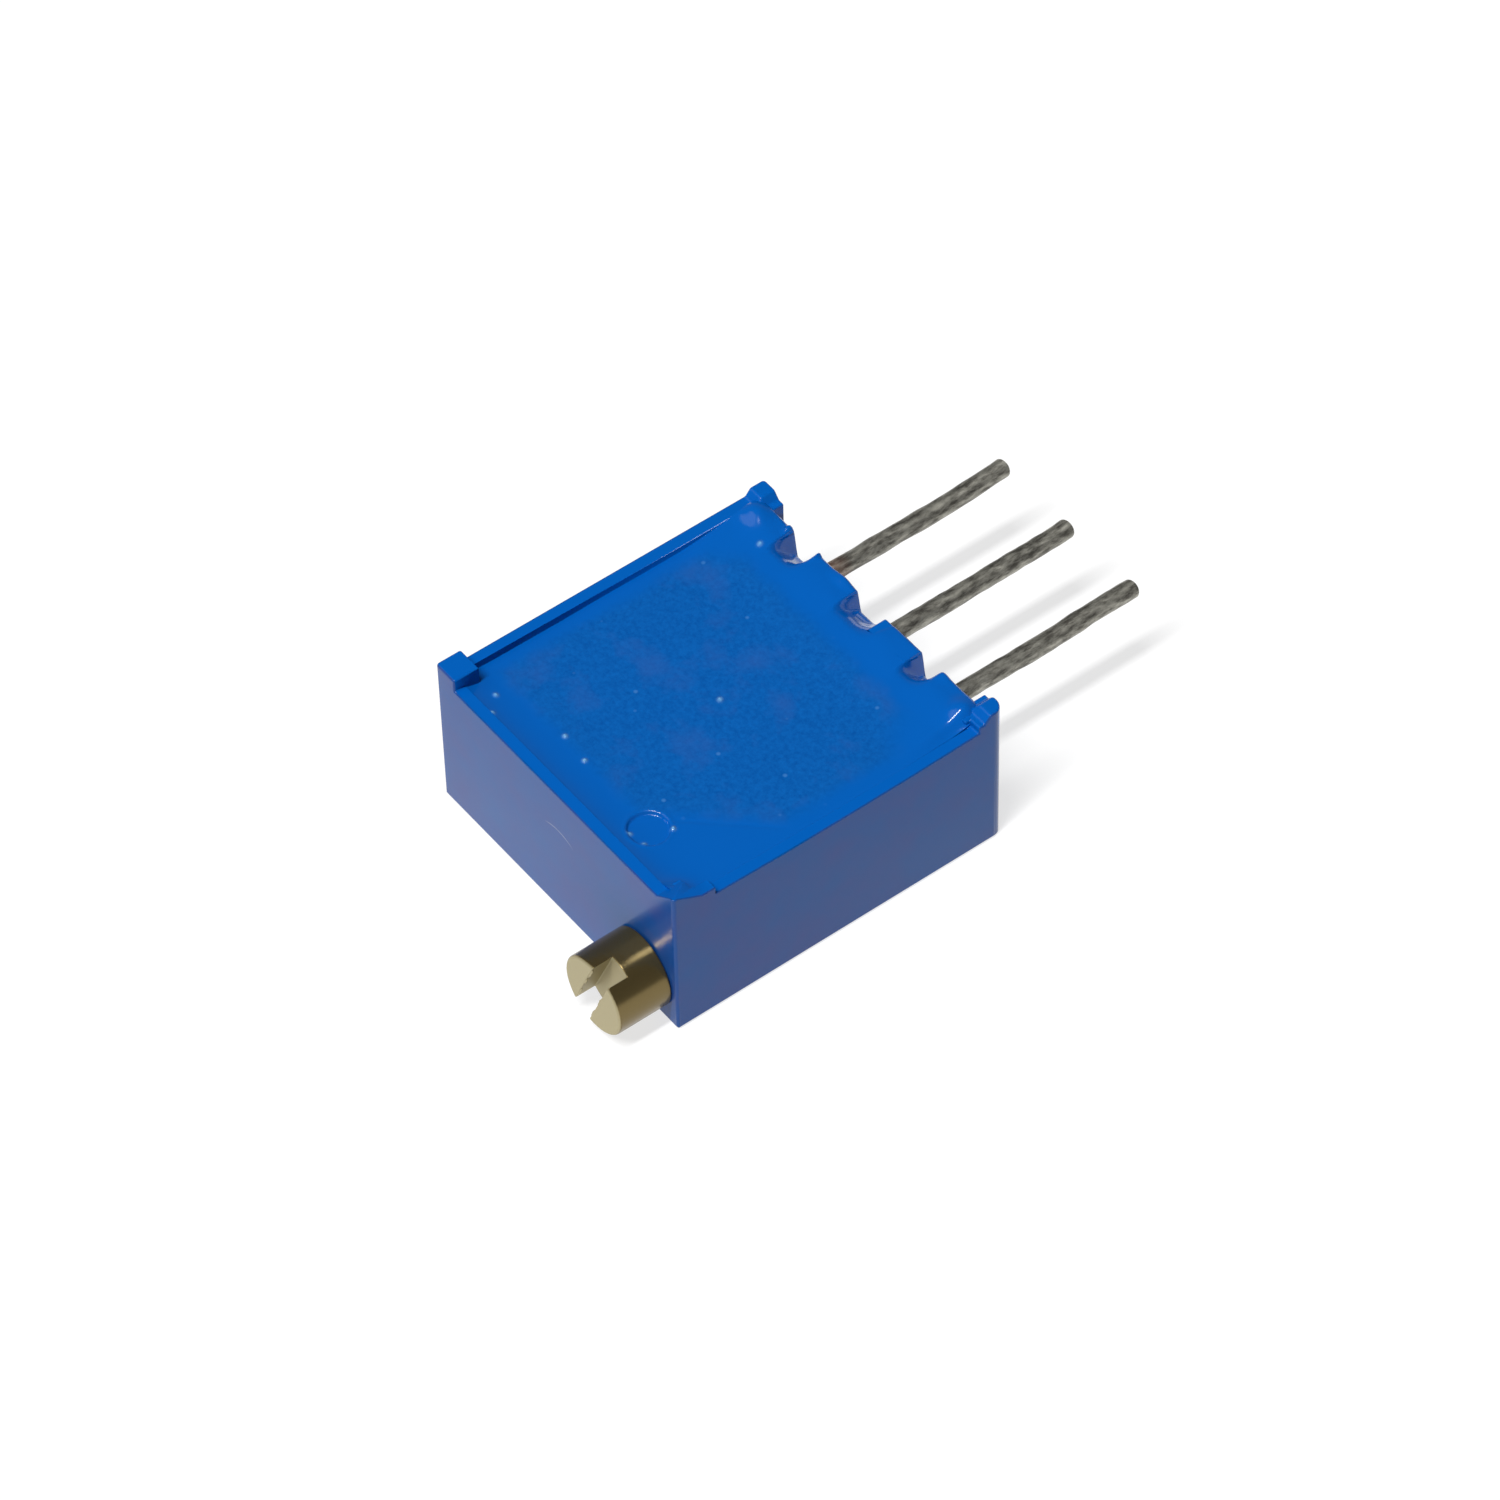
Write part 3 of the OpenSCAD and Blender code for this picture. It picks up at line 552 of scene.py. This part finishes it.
def epoxyTop(x, y):
    # level fill + rise over the plate + creep up the walls, exp(-distance / reach) - dimple,
    # then lifted over the rear wall's top, let down into each terminal's bay and led to the side rim
    z = fill["top"] + fill["plateRise"] * plateMask(x, y) + 0.006 * ripple(x, y, 2.2, 5)
    z = z + fill["creep"] * (np.exp(-(y + 4.68) / 0.45) + 0.3 * np.exp(-(x + 4.43) / 0.3))
    z = z + fill["rearRise"] * smoothStep(1.9, 4.3, y)
    far = np.hypot(x - fill["ringX"], y - fill["ringY"])
    z = z - fill["ringDepth"] * (1 - smoothStep(fill["ringRadius"] - 0.06, fill["ringRadius"], far))
    z = z + 0.012 * np.exp(-((far - fill["ringRadius"] - 0.05) / 0.04) ** 2)
    beside = smoothStep(2.0, 2.6, x) * smoothStep(-0.8, -1.5, y)
    z = z - 0.014 * np.exp(-((plateInside(x, y) + 0.02) / 0.05) ** 2) * beside
    z = z + fill["crumbHeight"] * crumbShape(x, y)
    z = np.minimum(z, fill["rimTop"])
    bay, depth = bayShape(x)
    lift = smoothStep(3.3, 4.3, y) * (1 - bay) * (1 - smoothStep(3.75, 4.2, np.abs(x) + 0 * y))
    z = z + (fill["wallTop"] - fill["top"] - fill["rearRise"]) * lift
    drop = fill["top"] + fill["rearRise"] - (fill["wallTop"] - depth / np.maximum(bay, 0.001))
    z = z - bay * drop * smoothStep(3.75, 4.72, y)
    for spikeX, height, width in spikes:
        z = z + height * np.exp(-((x - spikeX) / width) ** 2) * smoothStep(4.3, 4.6, y)
    z = z + 0.01 * ripple(x, y, 0.8, 6) * smoothStep(3.7, 4.1, y)
    rim = fill["sideRim"] + fill["sideSag"] * np.clip(y / fill["sideHalf"], -1, 1) ** 2
    z = z + (rim - z) * smoothStep(4.05, 4.415, x) + 0.27 * bumpAt(x, y, 4.45, -4.62, 0.45)
    for blobX, blobY, height in blobs:
        z = z + height * bumpAt(x, y, blobX, blobY, fill["blobRadius"])
    edge = np.clip((y - 4.57) / 0.105, 0, 1)
    return z - 0.07 * (1 - np.sqrt(np.maximum(1 - edge ** 2, 0)))


def makeEpoxy():
    # closed outline in y and z carried along x: top, outer face with a collar at each lead, underside
    half = fill["slotHalf"]
    sides = [pin + side * (half + gap) for pin in pinXs for side in (-1, 1) for gap in (-0.001, 0.001)]
    steps = [np.linspace(pin - 0.62, pin - 0.4, 12) for pin in pinXs]
    x = np.unique(np.concatenate([np.linspace(-4.43, 4.43, 180), sides,
                                  np.linspace(1.55, 2.8, 40)] + steps))
    topY = np.unique(np.concatenate([np.linspace(-4.68, fill["pinFace"] + 0.01, 175),
                                     np.linspace(-4.45, -3.15, 40)]))
    topX, topYs = np.meshgrid(x, topY, indexing="ij")
    top = np.stack([topX, topYs, epoxyTop(topX, topYs)], axis=-1)
    nearest = np.array(pinXs)[np.argmin(np.abs(x[:, None] - np.array(pinXs)[None, :]), axis=1)]
    u = x - nearest
    inSlot = np.abs(u) < half
    floor = np.where(inSlot, pinZ - np.sqrt(np.maximum(half ** 2 - u ** 2, 0)), fill["film"])
    floor = np.minimum(floor, top[:, -1, 2] - 0.01)
    t = np.linspace(0, 1, 26)[1:]
    faceZ = top[:, -1, 2][:, None] * (1 - t) + floor[:, None] * t
    away = np.hypot(np.broadcast_to(u[:, None], faceZ.shape), faceZ - pinZ)
    collar = fill["collarReach"] * np.exp(-np.maximum(away - pinRadius, 0) / fill["collarWidth"])
    faceY = fill["pinFace"] + 0.01 + np.where(inSlot[:, None], collar, 0)
    face = np.stack([np.broadcast_to(x[:, None], faceZ.shape), faceY, faceZ], axis=-1)
    underY = np.array([4.5, 4.2, 4.0, 3.9, 3.5, 1.5, -1.0, -3.5, -4.68])
    underZ = np.where(underY[None, :] > 3.95, floor[:, None], 4.0)
    under = np.stack([np.broadcast_to(x[:, None], underZ.shape), np.broadcast_to(underY, underZ.shape),
                      underZ], axis=-1)
    loop = np.concatenate([top, face, under], axis=1)
    rows, columns = loop.shape[:2]
    points = loop.reshape(-1, 3)
    faces = [f[::-1] for f in tubeFaces(rows, columns)]
    piece = meshPiece("epoxy_fill", points, faces, "body", epoxy)
    mask = plateMask(points[:, 0], points[:, 1]) * (points[:, 2] > 4.1)
    attribute = piece.data.attributes.new("overPlate", "FLOAT", "POINT")
    attribute.data.foreach_set("value", mask.astype(np.float32))
    # where the grains sit, for their painted highlight in the epoxy's colour
    attribute = piece.data.attributes.new("crumbGlint", "FLOAT", "POINT")
    grains = np.clip(crumbShape(points[:, 0], points[:, 1]), 0, 1) * (points[:, 2] > 4.1)
    attribute.data.foreach_set("value", grains.astype(np.float32))
    piece.data.set_sharp_from_angle(angle=math.radians(50))
    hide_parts("potting")
    return piece


epoxyFill = makeEpoxy()
print("epoxy made", len(epoxyFill.data.polygons), "faces")


def makeTerminal(name, node, centre, wave):
    # superellipse section swept along y: x = a sgn(cos t) |cos t|^(2/p), z = b sgn(sin t) |sin t|^(2/p)
    low, high = corners(node)
    y = np.concatenate([np.linspace(low[1], 4.5, 12), np.linspace(4.52, high[1] - 0.007, 120)])
    t = np.linspace(0, 2 * np.pi, 36, endpoint=False)
    coined = 1 - smoothStep(4.45, 4.6, y)
    a = 0.3 * coined + pinRadius * (1 - coined)
    b = 0.17 * coined + pinRadius * (1 - coined)
    power = 5 * coined + 2 * (1 - coined)
    out = np.clip((y - 5.0) / (high[1] - 5.0), 0, 1)
    sway = wave["bend"] * np.maximum(out - 0.6, 0) / 0.4
    sway = sway + wave["sway"] * np.sin(2 * np.pi * out * 1.6 + wave["phase"]) * out
    lump = 1 + (0.025 * ripple(t[None, :] * 0.25, y[:, None], 0.5, wave["seed"])
                + 0.03 * ripple(0 * t[None, :], y[:, None], 1.6, wave["seed"] + 9)) * (1 - coined[:, None])
    c, s = np.cos(t)[None, :], np.sin(t)[None, :]
    px = centre + a[:, None] * np.sign(c) * np.abs(c) ** (2 / power[:, None]) * lump
    pz = pinZ + sway[:, None] + b[:, None] * np.sign(s) * np.abs(s) ** (2 / power[:, None]) * lump
    cut = smoothStep(high[1] - 0.6, high[1], y)[:, None] * (0.05 * s + 0.05 * c - 0.07)
    py = y[:, None] + cut + 0 * c
    rings = np.stack([px, py, pz], axis=-1)
    last = rings[-1].mean(axis=0)
    caps = []
    for shrink, rise in ((0.94, 0.012), (0.6, 0.022), (0.25, 0.026)):
        caps.append(last + (rings[-1] - last) * shrink + np.array([0, rise, 0]))
    rings = np.concatenate([rings, np.array(caps)])
    rings[:, :, 1] = np.minimum(rings[:, :, 1], high[1])
    rows, columns = rings.shape[:2]
    faces = [f[::-1] for f in tubeFaces(rows, columns)]
    piece = meshPiece(name, rings.reshape(-1, 3), faces, "body", tin)
    piece.data.set_sharp_from_angle(angle=math.radians(50))
    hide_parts(node)
    return piece


waves = [{"bend": 0.10, "sway": 0.03, "phase": 0.4, "seed": 11},
         {"bend": 0.09, "sway": 0.03, "phase": 2.0, "seed": 12},
         {"bend": 0.13, "sway": 0.02, "phase": 3.6, "seed": 13}]
terminals = [makeTerminal(f"lead_{i + 1}", f"terminal_{i + 1}", pinXs[i], waves[i]) for i in range(3)]
print("terminals made")


def makeThread():
    # ridge wound on the shaft: r = 0.74 + 0.035 cos(angle around the ridge), y falls one pitch a turn
    turn = {"from": -3.4, "to": 3.0, "pitch": 0.2, "reach": 0.035, "wide": 0.06}
    laps = (turn["to"] - turn["from"]) / turn["pitch"]
    along = np.linspace(0, 1, int(laps * 28) + 1)
    angle = along * laps * 2 * np.pi
    side = np.linspace(0, 2 * np.pi, 6, endpoint=False)
    taper = np.clip(np.minimum(along, 1 - along) * laps * 2, 0.05, 1)
    r = 0.745 + turn["reach"] * taper[:, None] * np.cos(side)[None, :]
    y = turn["from"] + along[:, None] * (turn["to"] - turn["from"]) + turn["wide"] * np.sin(side)[None, :]
    shaftX, shaftZ = headCentre[0], headCentre[2]
    rings = np.stack([shaftX + r * np.cos(angle)[:, None], y, shaftZ + r * np.sin(angle)[:, None]], axis=-1)
    rows, columns = rings.shape[:2]
    return meshPiece("screw_thread", rings.reshape(-1, 3), tubeFaces(rows, columns), "screw",
                     brass)


thread = makeThread()
print("thread made")


def makeBurrs():
    # rolled lips left by the saw at the slot's mouth: spindles, radius w sqrt(1 - (2s - 1)^2), rippled
    look = {"angle": 67, "offset": 0.07, "half": 0.305, "rings": 24, "sides": 12}
    # each: middle along the slot, side of the slot, length and radius
    lips = [(0.62, 1, 0.5, 0.045), (0.12, 1, 0.3, 0.035), (-0.62, 1, 0.45, 0.04), (-0.7, -1, 0.4, 0.04),
            (0.1, -1, 0.5, 0.03)]
    run = np.array([math.cos(math.radians(look["angle"])), 0, math.sin(math.radians(look["angle"]))])
    cross = np.array([-run[2], 0, run[0]])
    s = np.linspace(0, 1, look["rings"])
    t = np.linspace(0, 2 * np.pi, look["sides"], endpoint=False)
    points = []
    faces = []
    for index, (middle, side, length, width) in enumerate(lips):
        start = len(points)
        uneven = 1 + 0.25 * ripple(s, 0 * s, 0.3, 21 + index)
        r = width * np.sqrt(np.maximum(1 - (2 * s - 1) ** 2, 0.02)) * uneven
        root = np.array([headCentre[0], screwLow[1], headCentre[2]])
        root = root + cross * (look["offset"] + side * look["half"])
        line = root + run * (middle + length * (s[:, None] - 0.5))
        line[:, 1] = screwLow[1] + 1.3 * width
        ring = np.cos(t)[None, :, None] * cross + np.sin(t)[None, :, None] * np.array([0, 1.0, 0])
        rows = line[:, None, :] + r[:, None, None] * ring
        points.extend(rows.reshape(-1, 3).tolist())
        faces.extend([[k + start for k in f] for f in tubeFaces(len(s), len(t))])
    return meshPiece("slot_burrs", points, faces, "screw", brass)


burrs = makeBurrs()
print("burrs made")


def outward(piece):
    # signed volume: sum of each face's centre dot its area vector; a negative one is turned inside out
    work = bmesh.new()
    work.from_mesh(piece.data)
    flip = work.calc_volume(signed=True) < 0
    if flip:
        bmesh.ops.reverse_faces(work, faces=work.faces)
        work.to_mesh(piece.data)
    work.free()
    print(piece.name, "turned" if flip else "faces outward")


for piece in [epoxyFill, thread, burrs] + terminals:
    outward(piece)

for node, slot in ((s["node"], s["material_slot"]) for s in frame["record"]["subparts"]):
    piece = frame["nodes"][node]
    if len(piece.material_slots) == 0:
        piece.data.materials.append(finishes[slot])
    for place in piece.material_slots:
        place.material = finishes[slot]
print("materials assigned")
